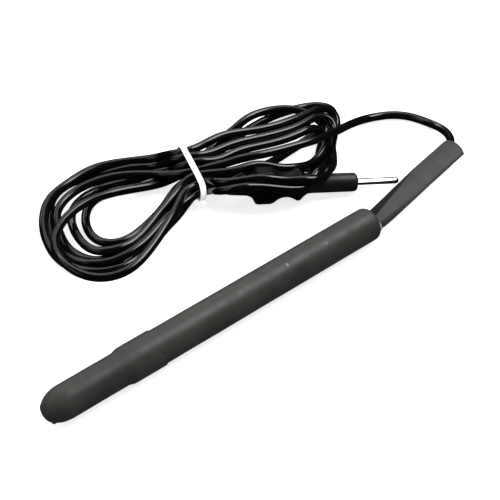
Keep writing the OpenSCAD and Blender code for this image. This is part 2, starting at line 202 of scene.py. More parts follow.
def settle(p, rounds=500, gap=CLEARANCE):
    """Lays the cord on the table.

    It keeps its length and stiffness, and is pushed off itself, the plug and the tie.
    """
    start, n = p.copy(), len(p)
    rest = np.linalg.norm(np.diff(p, axis=0), axis=1).mean()
    axis = np.array(PLUG.to_3x3().col[0])
    origin = np.array(PLUG.translation)
    tie_turn = np.array(TIE.to_3x3())
    tie_at = np.array(TIE.translation)
    free = np.ones(n, bool)
    free[:int(np.argmax(p[:, 0] > SLEEVE_MOUTH_X))] = False
    free[int(np.nonzero((p - origin) @ axis <= GRIP_REAR - 0.5)[0][-1]) + 1:] = False
    push_free = free[:, None]
    half = (TIE_INNER[0] / 2 - CORD_R, TIE_INNER[1] / 2 - CORD_R)
    corner = TIE_INNER[2] - CORD_R
    from_tie = (start - tie_at) @ tie_turn
    beside = np.exp(-((np.abs(from_tie[:, 0]) - EASED_AT) / EASED_WIDTH) ** 2)
    beside *= np.abs(from_tie[:, 1]) < EASED_REACH
    pull = PULL * (1 - EASING * beside)[:, None]
    for i in range(rounds):
        new = p.copy()
        new[:, 2] -= SAG
        new += pull * (1 - 0.5 * i / rounds) * (start - p)
        for _ in range(4):
            bend = np.zeros_like(p)
            bend[2:-2] = new[:-4] - 4 * new[1:-3] + 6 * new[2:-2] - 4 * new[3:-1] + new[4:]
            new -= STIFFNESS * bend
        p = np.where(push_free, new, p)
        if i % 5 == 0:
            near_a, near_b = pairs_within(p, gap + 2)
        for _ in range(3):
            for odd in (0, 1):
                at = np.arange(odd, n - 1, 2)
                line = p[at + 1] - p[at]
                length = np.linalg.norm(line, axis=1)[:, None]
                line *= 0.5 * (length - rest) / length
                p[at] += line * push_free[at]
                p[at + 1] -= line * push_free[at + 1]
            apart = p[near_b] - p[near_a]
            length = np.maximum(np.linalg.norm(apart, axis=1), 1e-6)
            hit = length < gap
            a, b = near_a[hit], near_b[hit]
            apart = apart[hit] * (0.35 * (gap - length[hit]) / length[hit])[:, None]
            moved = np.zeros_like(p)
            count = np.zeros(n)
            np.add.at(moved, a, -apart)
            np.add.at(moved, b, apart)
            np.add.at(count, a, 1)
            np.add.at(count, b, 1)
            p += moved / np.maximum(1, count * 0.5)[:, None] * push_free
            # off the plug
            t = (p - origin) @ axis
            out = p - origin - t[:, None] * axis
            r = np.maximum(np.linalg.norm(out, axis=1), 1e-6)
            limit = np.interp(t, PLUG_SHAPE[:, 0], PLUG_SHAPE[:, 1], left=-9, right=-9) + CORD_R
            inside = (r < limit) & free
            p[inside] += (limit / r - 1)[inside, None] * out[inside]
            # inside the tie
            q = (p - tie_at) @ tie_turn
            inside = (np.abs(q[:, 0]) < TIE_HOLD) & free
            u = np.clip(q[inside, 1], -half[0], half[0])
            v = np.clip(q[inside, 2], -half[1], half[1])
            cu = np.sign(u) * (half[0] - corner)
            cv = np.sign(v) * (half[1] - corner)
            r = np.hypot(u - cu, v - cv)
            cut = (np.abs(u) > np.abs(cu)) & (np.abs(v) > np.abs(cv)) & (r > corner)
            shrink = np.where(cut, corner / np.maximum(r, 1e-9), 1)
            q[inside, 1] = np.where(cut, cu + (u - cu) * shrink, u)
            q[inside, 2] = np.where(cut, cv + (v - cv) * shrink, v)
            p[inside] = tie_at + q[inside] @ tie_turn.T
            low = (p[:, 2] < TABLE_Z + CORD_R) & free
            p[low, 2] = TABLE_Z + CORD_R
    return p


def curve_piece(name, points, radius, every):
    """A round cord along the points, as one smooth curve."""
    keep = list(range(0, len(points) - 1, every)) + [len(points) - 1]
    data = bpy.data.curves.new(name, "CURVE")
    data.dimensions = "3D"
    data.bevel_depth = radius * MM
    data.bevel_resolution = 6
    data.resolution_u = 5
    data.use_fill_caps = True
    line = data.splines.new("BEZIER")
    line.bezier_points.add(len(keep) - 1)
    for k, i in enumerate(keep):
        here = Vector(points[i]) * MM
        before = Vector(points[keep[max(k - 1, 0)]]) * MM
        after = Vector(points[keep[min(k + 1, len(keep) - 1)]]) * MM
        along = (Vector(points[min(i + 1, len(points) - 1)]) - Vector(points[max(i - 1, 0)])).normalized()
        point = line.bezier_points[k]
        point.handle_left_type = point.handle_right_type = "FREE"
        point.co = here
        point.handle_left = here - along * (here - before).length / 3
        point.handle_right = here + along * (after - here).length / 3
    piece = bpy.data.objects.new(name, data)
    bpy.context.scene.collection.objects.link(piece)
    return piece


# ---------------------------------------------------------------- meshes

def mesh_piece(name, vertices, faces, sharp=38):
    data = bpy.data.meshes.new(name)
    data.from_pydata([tuple(Vector(v) * MM) for v in vertices], [], faces)
    data.validate()
    data.shade_smooth()
    data.set_sharp_from_angle(angle=math.radians(sharp))
    piece = bpy.data.objects.new(name, data)
    bpy.context.scene.collection.objects.link(piece)
    return piece


def stitch(rings, closed_line=False):
    """Vertices and faces of a skin over rings of the same size. A ring of one point is a pole."""
    vertices, starts = [], []
    for ring in rings:
        starts.append(len(vertices))
        vertices.extend(ring)
    faces = []
    sides = max(len(r) for r in rings)
    count = len(rings)
    for i in range(count if closed_line else count - 1):
        j = (i + 1) % count
        one, two = len(rings[i]) == 1, len(rings[j]) == 1
        for k in range(sides):
            m = (k + 1) % sides
            a, b = starts[i] + (0 if one else k), starts[i] + (0 if one else m)
            c, d = starts[j] + (0 if two else m), starts[j] + (0 if two else k)
            corners = [a, b, c, d]
            faces.append([v for n, v in enumerate(corners) if v not in corners[:n]])
    return vertices, faces


def filleted(points, radius, steps=4):
    """A profile whose inner corners are rounded, where there is room."""
    points = [Vector(p) for p in points]
    out = [points[0]]
    for a, b, c in zip(points, points[1:], points[2:]):
        room = min(radius, (a - b).length * 0.45, (c - b).length * 0.45)
        p, q = b + (a - b).normalized() * room, b + (c - b).normalized() * room
        out += [(1 - t) ** 2 * p + 2 * t * (1 - t) * b + t * t * q
                for t in (k / steps for k in range(steps + 1))]
    return out + [points[-1]]


def spaced(points, step):
    """The profile with more points on its long stretches."""
    out = [points[0]]
    for a, b in zip(points, points[1:]):
        n = max(1, int((b - a).length / step))
        out += [a + (b - a) * (k / n) for k in range(1, n + 1)]
    return out


def apart_only(profile):
    """The profile without points that repeat the one before."""
    return [p for i, p in enumerate(profile) if i == 0 or (p - profile[i - 1]).length > 1e-4]


def turned(name, profile, sides, shape=None, place=Matrix.Identity(4)):
    """A turned skin about X. shape(x, radius, angle) may move each point."""
    rings = []
    for x, r in profile:
        if r < 1e-6:
            rings.append([place @ Vector((x, 0, 0))])
            continue
        ring = []
        for k in range(sides):
            angle = 2 * math.pi * k / sides
            if shape:
                ring.append(place @ Vector(shape(x, r, angle)))
            else:
                ring.append(place @ Vector((x, r * math.cos(angle), r * math.sin(angle))))
        rings.append(ring)
    return mesh_piece(name, *stitch(rings))


def smooth_step(a, b, x):
    t = min(1, max(0, (x - a) / (b - a)))
    return t * t * (3 - 2 * t)


def hump(x, centre, width):
    return math.exp(-((x - centre) / width) ** 2)


def angle_from(a, b):
    """The turn from b to a, between half a turn each way."""
    return (a - b + math.pi) % (2 * math.pi) - math.pi


def ripple(x, angle, r, pitch, seed):
    return noise.noise(Vector((x / pitch, r * math.cos(angle) / pitch + seed, r * math.sin(angle) / pitch)))


# ---------------------------------------------------------------- materials

class Finish:
    """A material on one Principled shader, with helpers for its textures."""

    def __init__(self, name, roughness=0.5, **numbers):
        self.material = bpy.data.materials.new(name)
        self.material.use_nodes = True
        self.tree = self.material.node_tree
        self.shader = self.tree.nodes["Principled BSDF"]
        self.shader.inputs["Roughness"].default_value = roughness
        for socket, value in numbers.items():
            self.shader.inputs[socket.replace("_", " ").title().replace("Ior", "IOR")].default_value = value
        self.coordinates = self.tree.nodes.new("ShaderNodeTexCoord")

    def node(self, kind, **settings):
        made = self.tree.nodes.new(kind)
        for key, value in settings.items():
            setattr(made, key, value)
        return made

    def link(self, a, b):
        self.tree.links.new(a, b)

    def noise(self, scale, detail=3.0, roughness=0.55, stretch=(1, 1, 1), distortion=0.0):
        """Noise in the object's own space. scale is in turns per metre."""
        mapping = self.node("ShaderNodeMapping")
        mapping.inputs["Scale"].default_value = stretch
        texture = self.node("ShaderNodeTexNoise")
        texture.inputs["Scale"].default_value = scale
        texture.inputs["Detail"].default_value = detail
        texture.inputs["Roughness"].default_value = roughness
        texture.inputs["Distortion"].default_value = distortion
        self.link(self.coordinates.outputs["Object"], mapping.inputs["Vector"])
        self.link(mapping.outputs["Vector"], texture.inputs["Vector"])
        return texture.outputs["Fac"]

    def ramp(self, factor, stops):
        """A colour ramp. A number among the stops is a grey."""
        made = self.node("ShaderNodeValToRGB")
        elements = made.color_ramp.elements
        while len(elements) < len(stops):
            elements.new(0.5)
        for element, (position, colour) in zip(elements, stops):
            element.position = position
            colour = (colour,) * 3 if isinstance(colour, (int, float)) else colour
            element.color = (*colour, 1)
        self.link(factor, made.inputs["Fac"])
        return made.outputs["Color"]

    def mix(self, factor, a, b, blend="MIX"):
        made = self.node("ShaderNodeMix", data_type="RGBA", blend_type=blend)
        for value, socket in ((factor, made.inputs["Factor"]), (a, made.inputs[6]), (b, made.inputs[7])):
            if isinstance(value, bpy.types.NodeSocket):
                self.link(value, socket)
            elif isinstance(value, tuple):
                socket.default_value = (*value, 1)
            else:
                socket.default_value = value
        return made.outputs[2]

    def math(self, operation, a, b):
        made = self.node("ShaderNodeMath", operation=operation)
        for value, socket in ((a, made.inputs[0]), (b, made.inputs[1])):
            if isinstance(value, bpy.types.NodeSocket):
                self.link(value, socket)
            else:
                socket.default_value = value
        return made.outputs[0]

    def colour(self, socket):
        self.link(socket, self.shader.inputs["Base Color"])

    def rough(self, factor, low, high):
        self.link(self.ramp(factor, [(0.3, low), (0.7, high)]), self.shader.inputs["Roughness"])

    def bump(self, *layers):
        """Bump layers: each a height, its depth in millimetres and its strength."""
        below = None
        for height, depth, strength in layers:
            made = self.node("ShaderNodeBump")
            made.inputs["Distance"].default_value = depth * MM
            made.inputs["Strength"].default_value = strength
            self.link(height, made.inputs["Height"])
            if below:
                self.link(below, made.inputs["Normal"])
            below = made.outputs["Normal"]
        self.link(below, self.shader.inputs["Normal"])

    def edge(self, direction, start, end):
        """0 to 1 along a direction, from start to end in millimetres."""
        along = self.node("ShaderNodeVectorMath", operation="DOT_PRODUCT")
        along.inputs[1].default_value = direction
        self.link(self.coordinates.outputs["Object"], along.inputs[0])
        spread = self.node("ShaderNodeMapRange", interpolation_type="SMOOTHSTEP")
        spread.inputs["From Min"].default_value = start * MM
        spread.inputs["From Max"].default_value = end * MM
        self.link(along.outputs["Value"], spread.inputs["Value"])
        return spread.outputs["Result"]

    def scuff(self, colour, base, centre, radius):
        """A pale rubbed tick, shorter along X than across and ragged at its edge."""
        narrowing, raggedness, strength = 2.6, 1.2, 0.5
        from_centre = self.node("ShaderNodeVectorMath", operation="SUBTRACT")
        from_centre.inputs[1].default_value = tuple(c * MM for c in centre)
        self.link(self.coordinates.outputs["Object"], from_centre.inputs[0])
        drawn = self.node("ShaderNodeVectorMath", operation="MULTIPLY")
        drawn.inputs[1].default_value = (narrowing, 1.0, 1.0)
        self.link(from_centre.outputs[0], drawn.inputs[0])
        apart = self.node("ShaderNodeVectorMath", operation="LENGTH")
        self.link(drawn.outputs[0], apart.inputs[0])
        away = self.math("DIVIDE", apart.outputs["Value"], radius * MM)
        ragged = self.math("ADD", away, self.math("MULTIPLY", self.noise(2200), raggedness))
        mask = self.node("ShaderNodeMapRange")
        mask.inputs["From Min"].default_value = 1.7
        mask.inputs["From Max"].default_value = 1.1
        self.link(ragged, mask.inputs["Value"])
        return self.mix(self.math("MULTIPLY", mask.outputs["Result"], strength), base, colour)


SHRINK_SPECULAR = 0.42
SCUFF_COLOUR = (0.42, 0.42, 0.40)


def shrink_finish(name, dark, light, rough, marks=()):
    """Heat-shrunk polyolefin: fine grain, faint draw lines along it, and a soft uneven sheen."""
    f = Finish(name, specular_ior_level=SHRINK_SPECULAR, sheen_weight=0.10, sheen_roughness=0.35)
    cloud = f.noise(55, 4, 0.6)
    lines = f.noise(420, 3, 0.6, stretch=(0.05, 1, 1))
    grain = f.noise(3600, 2, 0.6)
    base = f.ramp(cloud, [(0.3, dark), (0.7, light)])
    base = f.mix(0.12, base, f.ramp(lines, [(0.35, tuple(c * 0.6 for c in dark)), (0.65, light)]))
    base = f.mix(0.10, base, f.ramp(grain, [(0.4, 0.0), (0.62, tuple(c * 1.6 for c in light))]))
    for centre, radius in marks:
        base = f.scuff(SCUFF_COLOUR, base, centre, radius)
    f.colour(base)
    f.rough(f.noise(160, 4, 0.6), rough - 0.05, rough + 0.07)
    f.bump((f.noise(90, 3), 0.25, 0.5), (lines, 0.03, 0.5), (grain, 0.03, 0.55))
    return f


def flat_sleeve_finish_with_painted_shade():
    """The same polyolefin, duller in the strip folded down beside the ridge near the probe, with painted
    shade darkening that strip's colour.
    """
    f = shrink_finish("flat_sleeve_satin_with_painted_shade", *SLEEVE_GREY, 0.50)
    plain = f.shader.inputs["Base Color"].links[0].from_socket
    # Mask for the painted shade: past an edge along the fold, fading out away from the probe's end
    across = -FOLD_SLOPE * REAR_X
    beyond = f.edge((-FOLD_SLOPE, 1, 0), across - 2.1, across - 1.1)
    close = f.edge((1, 0, 0), REAR_X + 48, REAR_X + 28)
    painted_shade = f.math("MULTIPLY", beyond, close)
    # Painted shade: the strip's colour is mixed most of the way to near black
    f.colour(f.mix(f.math("MULTIPLY", painted_shade, 0.80), plain, (0.004, 0.004, 0.004)))
    gloss = f.math("ADD", f.math("MULTIPLY", painted_shade, -0.36), SHRINK_SPECULAR)
    f.link(gloss, f.shader.inputs["Specular IOR Level"])
    return f


def cord_finish():
    """Glossy soft PVC with the faint wave and drag lines of extrusion."""
    f = Finish("cord_pvc_gloss", specular_ior_level=0.5)
    wave = f.noise(70, 2)
    dust = f.noise(5200, 2, 0.7)
    base = f.ramp(wave, [(0.3, (0.0012, 0.0012, 0.0016)), (0.7, (0.0028, 0.0028, 0.0034))])
    f.colour(f.mix(f.ramp(dust, [(0.74, 0.0), (0.82, 0.25)]), base, (0.02, 0.02, 0.018)))
    f.rough(f.noise(220, 3, 0.6), 0.13, 0.18)
    f.bump((wave, 0.06, 0.3), (f.noise(700, 2, 0.5), 0.002, 0.4), (dust, 0.002, 0.2))
    return f


def plastic_finish(name, dark, light, rough, grain_scale, grain_depth, **numbers):
    """Moulded plastic: slight flow marks and a fine moulded grain."""
    f = Finish(name, **numbers)
    flow = f.noise(140, 4, 0.6, distortion=0.4)
    grain = f.noise(grain_scale, 3, 0.65)
    base = f.ramp(flow, [(0.3, dark), (0.7, light)])
    f.colour(f.mix(0.15, base, f.ramp(grain, [(0.35, tuple(c * 0.5 for c in dark)), (0.65, light)])))
    f.rough(f.noise(380, 4, 0.6), rough * 0.85, rough * 1.2)
    f.bump((flow, 0.05, 0.3), (grain, grain_depth, 0.6))
    return f


def metal_finish(name, dark, light, rough, turned_lines):
    """Plated or turned metal, with fine lines round or along it and a little tarnish."""
    f = Finish(name, metallic=1.0)
    stain = f.noise(220, 4, 0.6)
    lines = f.noise(1400, 2, 0.6, stretch=turned_lines)
    f.colour(f.ramp(stain, [(0.35, dark), (0.65, light)]))
    f.rough(f.noise(700, 4, 0.6), rough * 0.7, rough * 1.5)
    f.bump((lines, rough * 0.012, 0.3), (f.noise(120, 2), 0.01, 0.2))
    return f


def sealant_finish():
    """Hot-melt sealant: milky, slightly see-through and smooth."""
    f = Finish("sealant_milky", specular_ior_level=0.5, subsurface_weight=0.3, subsurface_scale=0.001)
    f.colour(f.ramp(f.noise(900, 4), [(0.3, (0.34, 0.33, 0.30)), (0.7, (0.56, 0.55, 0.52))]))
    f.rough(f.noise(1500, 3), 0.28, 0.45)
    f.bump((f.noise(800, 3), 0.08, 0.5))
    return f


def floor_finish():
    """Smooth white sweep paper, a little lit of its own so that it reads as a pale studio ground."""
    f = Finish("floor_paper", roughness=0.8, specular_ior_level=0.1)
    f.colour(f.ramp(f.noise(40, 3), [(0.3, 0.90), (0.7, 0.93)]))
    f.bump((f.noise(900, 3), 0.05, 0.15))
    f.shader.inputs["Emission Color"].default_value = (1, 1, 1, 1)
    f.shader.inputs["Emission Strength"].default_value = 0.74
    return f


# How fast the edge of the painted shade along the flat sleeve's fold runs across it, from the probe's end
FOLD_SLOPE = 0.33
PROBE_GREY = ((0.036, 0.035, 0.031), (0.060, 0.058, 0.052))
SLEEVE_GREY = ((0.038, 0.038, 0.037), (0.056, 0.055, 0.054))
SCUFFS = [((84.7, -3.1, 7.9), 1.3), ((109.5, -3.7, 7.6), 0.9)]

finishes = {
    "shrink_sleeve": shrink_finish("shrink_sleeve_satin", *PROBE_GREY, 0.46, SCUFFS),
    "flat_sleeve": flat_sleeve_finish_with_painted_shade(),
    "sealant": sealant_finish(),
    "white_plastic": plastic_finish(
        "white_plastic_moulded", (0.62, 0.61, 0.57), (0.72, 0.71, 0.67), 0.42, 2600, 0.02),
    "electrode_brass": metal_finish(
        "electrode_brass_drawn", (0.50, 0.34, 0.12), (0.66, 0.48, 0.20), 0.28, (0.04, 1, 1)),
    "former_plastic": plastic_finish(
        "former_plastic_grey", (0.42, 0.42, 0.40), (0.50, 0.50, 0.48), 0.5, 2200, 0.03),
    "spring_bronze": metal_finish(
        "spring_bronze_rolled", (0.55, 0.30, 0.16), (0.68, 0.40, 0.24), 0.3, (0.1, 1, 1)),
    "nickel": metal_finish("nickel_plate", (0.62, 0.60, 0.56), (0.76, 0.74, 0.70), 0.09, (1, 0.1, 0.1)),
    "wire_insulation": plastic_finish(
        "wire_insulation_red", (0.42, 0.02, 0.015), (0.55, 0.03, 0.02), 0.35, 3000, 0.01),
    "cover_plastic": plastic_finish(
        "cover_plastic_black", (0.010, 0.010, 0.010), (0.02, 0.02, 0.02), 0.4, 2600, 0.02),
    "cord_pvc": cord_finish(),
    "tie_nylon": plastic_finish(
        "tie_nylon_white", (0.90, 0.90, 0.89), (0.96, 0.96, 0.95), 0.38, 2400, 0.02,
        subsurface_weight=0.15, subsurface_scale=0.001),
    "core_copper": metal_finish(
        "core_copper_drawn", (0.60, 0.28, 0.16), (0.74, 0.40, 0.26), 0.3, (0.1, 1, 1)),
    "collar_plastic": plastic_finish(
        "collar_plastic_satin", (0.013, 0.0100, 0.0075), (0.020, 0.0155, 0.0115), 0.42, 2600, 0.02,
        specular_ior_level=0.45),
    "grip_plastic": plastic_finish(
        "grip_plastic_moulded", (0.0016, 0.0016, 0.0018), (0.0030, 0.0030, 0.0032), 0.42, 2400, 0.004,
        specular_ior_level=0.16),
}


def fit_out(piece, slot, *nodes):
    """Gives a piece its finish and its body, and hides the CAD nodes that it stands for."""
    piece.data.materials.append(finishes[slot].material)
    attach(piece, "root")
    if nodes:
        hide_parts(*nodes)
    return piece


# ---------------------------------------------------------------- pieces

# The nose is pinched shut across the direction that runs up and away from its underside
SEAM = math.radians(41.6)
NUB = SEAM + math.pi
# The boot's shoulder is eased out on this side, from EASE_FROM to EASE_TO
EASED_SIDE = math.radians(128)
EASE_FROM = -26
EASE_TO = 0


def boot_shape(x, r, angle):
    """The boot's skin: a pinched nose with a crease and a nub, a shoulder and a dimple by the cut edge."""
    outside = r > (MAIN_R + 0.1 if x > -BAND_END - 0.1 else BOOT_R - 0.01)
    if outside and EASE_FROM < x < EASE_TO:
        eased = BOOT_R + (BAND_R - BOOT_R) * smooth_step(EASE_FROM, EASE_TO, x)
        r += (eased - r) * hump(angle_from(angle, EASED_SIDE), 0, 1.0)
    r += 0.05 * ripple(x, angle, r, 9, 0.3)
    pinch = smooth_step(-51.5, NOSE_X, x)
    across, flat = r * math.cos(angle - SEAM), r * math.sin(angle - SEAM)
    flat *= 1 - 0.35 * pinch
    across *= 1 + 0.25 * pinch
    near_nub = hump(angle_from(angle, NUB), 0, 0.15)
    crease = 1 - smooth_step(-51, -43, x)
    across -= near_nub * (0.30 * crease + 1.1 * hump(x, -51.6, 0.9))
    fold = 0.30 * hump(x, -52.4, 0.5) * hump(angle_from(angle, NUB + 0.2), 0, 1.2)
    across *= 1 - fold / max(r, 1)
    flat *= 1 - fold / max(r, 1)
    y = across * math.cos(SEAM) - flat * math.sin(SEAM)
    z = across * math.sin(SEAM) + flat * math.cos(SEAM)
    dimple = 0.55 * hump(x, 6.9, 1.0) * hump(angle_from(angle, math.radians(160)), 0, 0.12)
    cut = 0.18 * noise.noise(Vector((2 * math.cos(angle), 2 * math.sin(angle), 3))) if x > 7 else 0
    size = math.hypot(y, z)
    scale = (size - dimple) / size
    return x + cut - (0.9 * dimple if x > 7 else 0), y * scale, z * scale


def make_boot():
    nose = [(NOSE_X + (NOSE_ROOT_X - NOSE_X) * (1 - math.cos(a)), BOOT_R * math.sin(a))
            for a in (math.radians(3 + 87 * k / 26) for k in range(27))]
    shoulder = [(-12.4 + 4.2 * k / 10, BOOT_R + (BAND_R - BOOT_R) * smooth_step(0, 10, k))
                for k in range(11)]
    edge = 0.16
    band = [(-7.7, BAND_R), (5.2, BAND_R)]
    # finer by the cut edge, where the dimple is
    by_edge = [(5.6, BAND_R), (BAND_END - edge, BAND_R)]
    rim = [(BAND_END - edge, BAND_R), (BAND_END - edge * 0.3, BAND_R - edge * 0.3), (BAND_END, BAND_R - edge)]
    outside = spaced([Vector(p) for p in nose + shoulder], 1.5)
    outside += spaced([Vector(p) for p in band], 1.5)
    outside += spaced([Vector(p) for p in by_edge], 0.35)[:-1]
    outside += [Vector(p) for p in rim]
    inside = [(BAND_END, MAIN_R + 0.02), (-BAND_END, MAIN_R + 0.02), (-11.3, TUBE_R + 0.04),
              (NOSE_ROOT_X, TUBE_R)]
    inner_end = NOSE_X + 1.2
    inside += [(inner_end + (NOSE_ROOT_X - inner_end) * (1 - math.cos(a)), TUBE_R * math.sin(a))
               for a in (math.radians(80 - 70 * k / 8) for k in range(9))]
    profile = [Vector((NOSE_X - 0.15, 0))] + outside
    profile += [Vector(p) for p in inside] + [Vector((NOSE_X + 1.0, 0))]
    return fit_out(turned("boot_skin", profile, 120, boot_shape), "shrink_sleeve", "tip_boot")


def sleeve_oval(x, half_w, half_t, sides):
    """A flat oval across X: two half circles joined by flats."""
    reach = half_w - half_t
    ring = []
    for k in range(sides):
        a = 2 * math.pi * k / sides
        c = math.cos(a)
        ring.append(Vector((x, half_t * c + reach * max(-1, min(1, c * 2.2)), half_t * math.sin(a))))
    return ring


def make_main_sleeve():
    """The long sleeve, closed in round the root of the flat one."""
    sides = 112
    outside = [(-BAND_END, MAIN_R)] + [(-6 + 2.4 * k, MAIN_R) for k in range(61)]
    outside = [p for p in outside if p[0] < REAR_X - SHOULDER_R - 0.5]
    outside += [(REAR_X - SHOULDER_R * (1 - math.sin(a)), MAIN_R - SHOULDER_R * (1 - math.cos(a)))
                for a in (math.radians(90 * k / 8) for k in range(9))]
    rings = []
    for x, r in outside:
        ring = []
        for k in range(sides):
            angle = 2 * math.pi * k / sides
            worn = r + 0.07 * ripple(x, angle, r, 16, 4.1)
            worn += 0.05 * noise.noise(Vector((x / 30, 0.7, 1.3)))
            end = 0.35 * smooth_step(REAR_X - 6, REAR_X, x) * noise.noise(
                Vector((math.cos(angle), math.sin(angle), 8.2)))
            ring.append(Vector((x + end, worn * math.cos(angle), worn * math.sin(angle))))
        rings.append(ring)
    face = [Vector((v.x, v.y * 0.93, v.z * 0.93)) for v in rings[-1]]
    rings.append(face)
    rings.append(sleeve_oval(REAR_X + 0.05, 6.3, 3.72, sides))
    rings.append(sleeve_oval(REAR_X - 1.2, 6.25, 3.66, sides))
    for x in (REAR_X - 1.25, REAR_X - 6, -BAND_END):
        rings.append([Vector((x, (TUBE_R + 0.02) * math.cos(2 * math.pi * k / sides),
                              (TUBE_R + 0.02) * math.sin(2 * math.pi * k / sides))) for k in range(sides)])
    piece = mesh_piece("main_sleeve_skin", *stitch(rings, closed_line=True))
    return fit_out(piece, "shrink_sleeve", "main_sleeve")


FLAT_ROUTE = np.array([
    (134.5, 0, 0), (143, 0, 0), (147, 0.2, 0), (153, 1.2, 0), (163, 3.2, 0.2), (183, 7.4, 0.4),
    (203, 11.3, 0.6), (219, 14.4, 0.6),
])


def make_flat_sleeve():
    """The flattened sleeve over the cord, creased along one side from the probe's end."""
    path = [Vector(p) for p in spline(FLAT_ROUTE, 1.6)]
    sides = 64
    outer, inner = [], []
    for i, at in enumerate(path):
        along = (path[min(i + 1, len(path) - 1)] - path[max(i - 1, 0)]).normalized()
        across = Vector((0, 0, 1)).cross(along).normalized()
        up = along.cross(across)
        from_end = at.x - REAR_X
        near = 1 - smooth_step(0, 38, from_end)
        half_w = 6.7 - 0.5 * near + 0.06 * noise.noise(Vector((at.x / 9, 2.2, 0)))
        half_t = 3.2 + 0.4 * near
        for wall, ring_list in ((0, outer), (0.6, inner)):
            ring = []
            for v in sleeve_oval(0, half_w - wall, half_t - wall, sides):
                side, height = v.y, v.z
                # pressed thinner away from the cord, which lies along its left side
                height *= 1 - (1 - 0.8 * near) * 0.52 * smooth_step(2.5, -6.2, side)
                if height > 0:
                    ridge = -0.9 + 0.14 * max(0, from_end)
                    fold = (1 - smooth_step(32, 48, from_end)) * smooth_step(-1, 1, from_end)
                    height -= fold * max(0, min(1.1, 0.30 * (side - ridge)))
                    height = max(height, 0.4)
                    height += fold * 0.28 * hump(side, ridge - 0.4, 0.6)
                    height -= 1.0 * hump(from_end, 1.4, 1.2) * hump(side, ridge + 0.9, 0.9)
                    height += 0.10 * ripple(at.x, side / 5, 4, 8, 1.7)
                # the mouth is cut in a bow, a little unevenly
                cut = 0.25 * noise.noise(Vector((side / 3, height / 3, 6))) + 2.4 * abs(side / half_w) ** 2.2
                cut *= smooth_step(69, 76, from_end)
                ring.append(at + across * side + up * height - along * cut)
            ring_list.append(ring)
    rings = outer + inner[::-1]
    vertices, faces = stitch(rings, closed_line=True)
    piece = mesh_piece("flat_sleeve_skin", vertices, faces, sharp=50)
    return fit_out(piece, "flat_sleeve", "cable_sleeve")


def make_sealant_bead():
    """Sealant squeezed out round the root of the flat sleeve, thickest low on the near side."""
    sides, count = 12, 96
    line = sleeve_oval(REAR_X + 0.25, 6.35, 3.78, count)
    rings = []
    for k, at in enumerate(line):
        angle = 2 * math.pi * k / count
        out = Vector((0, 0.6 * at.y, at.z)).normalized()
        fat = 0.28 + 0.75 * hump(angle_from(angle, math.radians(175)), 0, 0.7)
        fat += 0.10 * noise.noise(Vector((3 * math.cos(angle), 3 * math.sin(angle), 2)))
        rings.append([at + out * fat * 0.9 * math.cos(2 * math.pi * j / sides)
                      + Vector((-1, 0, 0)) * fat * math.sin(2 * math.pi * j / sides) for j in range(sides)])
    piece = mesh_piece("sealant_bead", *stitch(rings, closed_line=True))
    return fit_out(piece, "sealant", "root_adhesive")


def make_tie():
    """The white strap round the bundle, its edges rounded, with the short cut end of its tail."""
    w, h, corner = (TIE_INNER[0] + TIE_T) / 2, (TIE_INNER[1] + TIE_T) / 2, TIE_INNER[2] + TIE_T / 2
    corners = ((1, 1, 0), (-1, 1, 90), (-1, -1, 180), (1, -1, 270))
    line = []
    for sx, sy, start in corners:
        for k in range(13):
            a = math.radians(start + 90 * k / 12)
            line.append(Vector((sx * (w - corner) + corner * math.cos(a),
                                sy * (h - corner) + corner * math.sin(a))))
    line = spaced(line + [line[0]], 1.5)[:-1]
    section = []
    bevel = 0.3
    for sx, sy, start in corners:
        for k in range(4):
            a = math.radians(start + 90 * k / 3)
            section.append((sx * (TIE_W / 2 - bevel) + bevel * math.cos(a),
                            sy * (TIE_T / 2 - bevel) + bevel * math.sin(a)))

    def strap(points, closed, lean, thin):
        rings = []
        n = len(points)
        for i, p in enumerate(points):
            before = points[(i - 1) % n] if closed else points[max(i - 1, 0)]
            after = points[(i + 1) % n] if closed else points[min(i + 1, n - 1)]
            along = (after - before).normalized()
            out = Vector((along.y, -along.x))
            rings.append([TIE @ Vector((a + lean(p, i), p.x + out.x * b * thin, p.y + out.y * b * thin))
                          for a, b in section])
        return rings

    def sway(p, i):
        return 0.35 * noise.noise(Vector((p.x / 9, p.y / 9, 5))) - 0.02 * p.x

    ring_faces = stitch(strap(line, True, sway, 1.0), closed_line=True)
    foot = Vector((-w + 0.6, -h + 2.2))
    tail_line = [foot + Vector((-0.35 * k, -0.42 * k)) for k in range(5)]
    tail = strap(tail_line, False, lambda p, i: 0.30 * i, 0.8)
    ends = [[sum(tail[0], Vector()) / len(tail[0])], [sum(tail[-1], Vector()) / len(tail[-1])]]
    tail_vertices, tail_faces = stitch([ends[0]] + tail + [ends[1]])
    start = len(ring_faces[0])
    faces = ring_faces[1] + [[v + start for v in f] for f in tail_faces]
    piece = mesh_piece("tie_strap", ring_faces[0] + tail_vertices, faces, sharp=60)
    return fit_out(piece, "tie_nylon", "cord_tie")


def grip_shape(x, r, angle):
    """A fine parting line down both sides of the moulding."""
    line = max(hump(angle_from(angle, 0), 0, 0.035), hump(angle_from(angle, math.pi), 0, 0.035))
    r += 0.10 * line * smooth_step(2.5, 4.5, r) + 0.03 * ripple(x, angle, r, 7, 2.0)
    return x, r * math.cos(angle), r * math.sin(angle)


